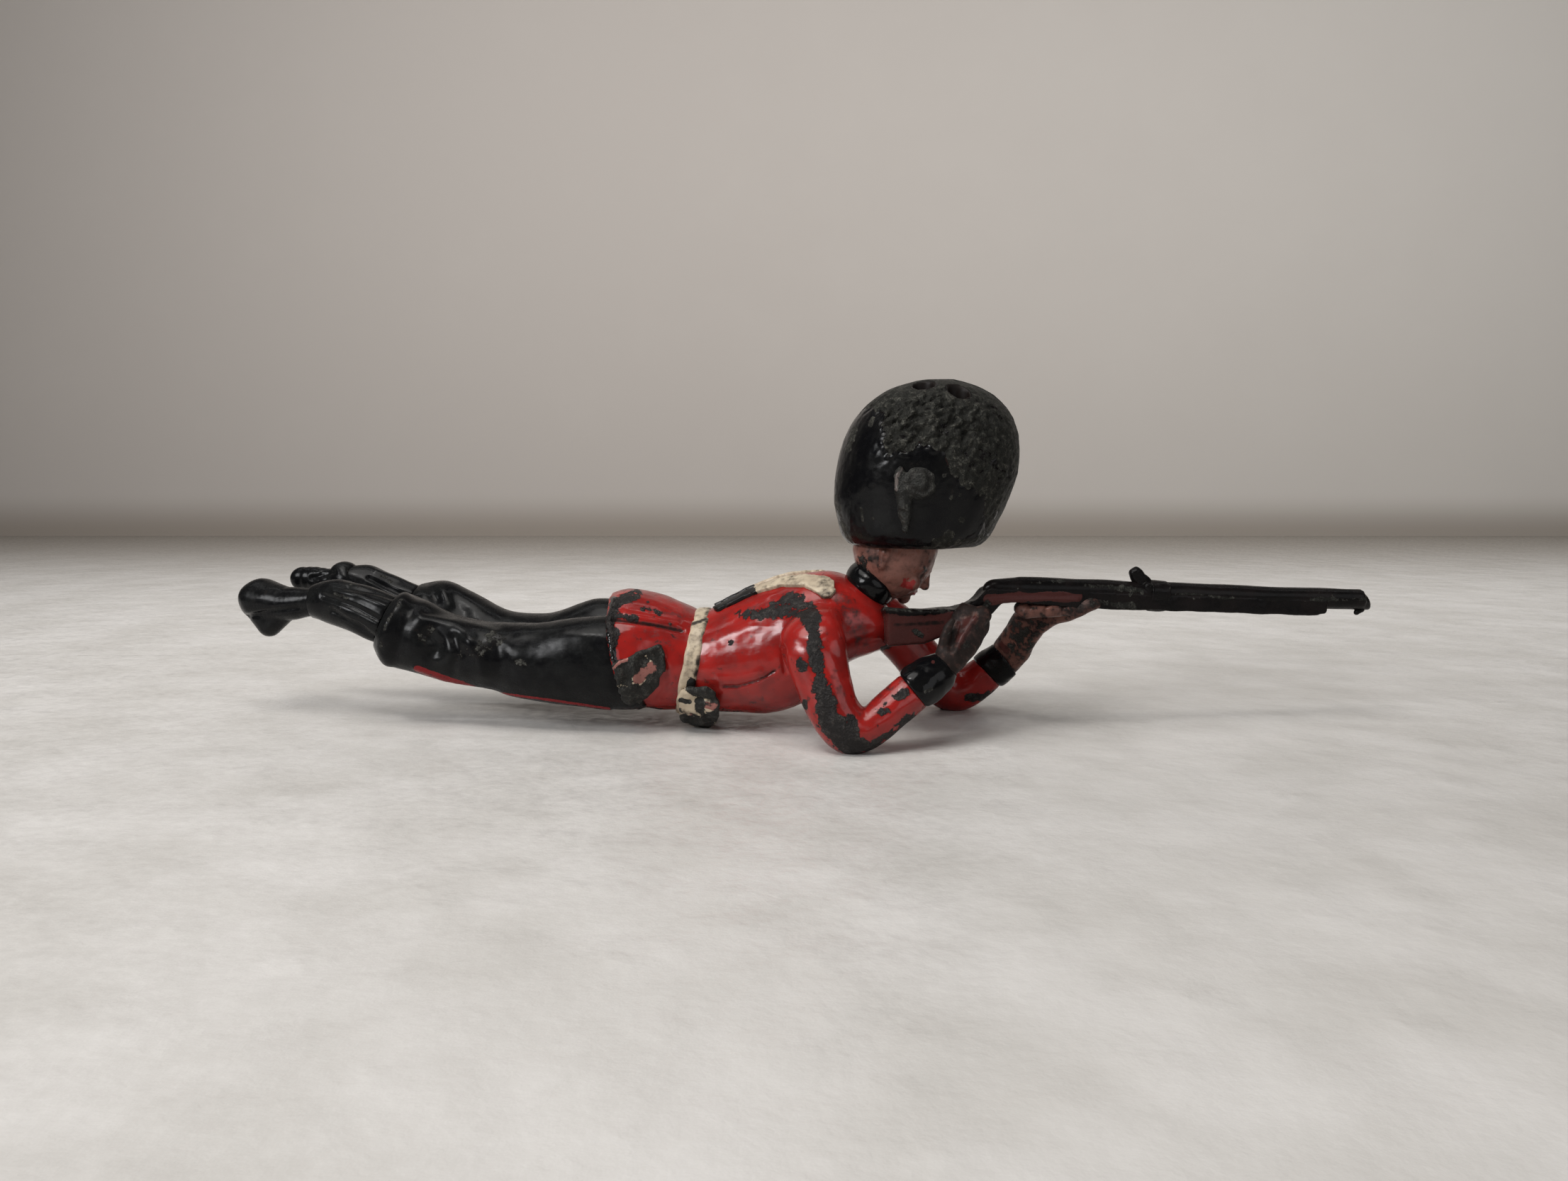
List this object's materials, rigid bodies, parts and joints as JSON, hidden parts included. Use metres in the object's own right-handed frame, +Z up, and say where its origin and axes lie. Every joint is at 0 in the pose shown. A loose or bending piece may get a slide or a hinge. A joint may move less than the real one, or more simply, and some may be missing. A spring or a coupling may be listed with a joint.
{
  "type": "prone toy soldier figure",
  "caption": "Hollow-cast metal toy soldier lying prone in a tall fur cap and aiming a rifle, with worn red and black enamel.",
  "frame": {"origin": "on the table plane, below the middle of the figure's box", "axes": "+X the way the soldier aims, +Z up from the table, +Y to the soldier's left"},
  "size_m": [0.0889, 0.0206, 0.0259],
  "materials": {
    "bearskin_cap": "gloss black enamel, worn off the crown and front to grey metal",
    "cap_plume": "bare grey metal with a trace of black enamel",
    "head": "flesh enamel, stained, with a red cheek and a dark eye line",
    "collar": "gloss black enamel",
    "tunic_body": "gloss red enamel with grey chips",
    "tunic_skirt": "gloss red enamel with grey chips",
    "waist_belt": "cream enamel, dirty in the creases",
    "right_shoulder_strap": "cream enamel, worn to black near the belt",
    "left_shoulder_strap": "cream enamel, dirty",
    "right_front_pouch": "cream enamel worn to dark metal",
    "left_front_pouch": "cream enamel worn to dark metal",
    "hip_pouch": "grey-black bare metal with a pink trace",
    "right_sleeve": "gloss red enamel, worn to dark metal along the arm",
    "left_sleeve": "gloss red enamel with grey chips",
    "right_cuff": "gloss black enamel",
    "left_cuff": "gloss black enamel",
    "right_hand": "flesh enamel mostly worn to brown-grey metal",
    "left_hand": "flesh enamel mostly worn to brown-grey metal",
    "rifle_stock": "black enamel worn to a brown-red ground",
    "rifle_barrel": "black enamel, worn grey along the top",
    "rear_sight": "dark worn metal",
    "barrel_band": "black enamel",
    "muzzle_lug": "dark worn metal",
    "right_trouser_leg": "black enamel with grey wear and a red side stripe",
    "left_trouser_leg": "black enamel with grey wear",
    "right_gaiter": "black enamel",
    "left_gaiter": "black enamel",
    "right_boot": "black enamel",
    "left_boot": "black enamel"
  },
  "bodies": {
    "root": {"bearskin_cap": "bearskin_cap", "cap_plume": "cap_plume", "head": "head", "collar": "collar", "tunic_body": "tunic_body", "tunic_skirt": "tunic_skirt", "waist_belt": "waist_belt", "right_shoulder_strap": "right_shoulder_strap", "left_shoulder_strap": "left_shoulder_strap", "right_front_pouch": "right_front_pouch", "left_front_pouch": "left_front_pouch", "hip_pouch": "hip_pouch", "right_sleeve": "right_sleeve", "left_sleeve": "left_sleeve", "right_cuff": "right_cuff", "left_cuff": "left_cuff", "right_hand": "right_hand", "left_hand": "left_hand", "rifle_stock": "rifle_stock", "rifle_barrel": "rifle_barrel", "rear_sight": "rear_sight", "barrel_band": "barrel_band", "muzzle_lug": "muzzle_lug", "right_trouser_leg": "right_trouser_leg", "left_trouser_leg": "left_trouser_leg", "right_gaiter": "right_gaiter", "left_gaiter": "left_gaiter", "right_boot": "right_boot", "left_boot": "left_boot"}
  },
  "joints": []
}
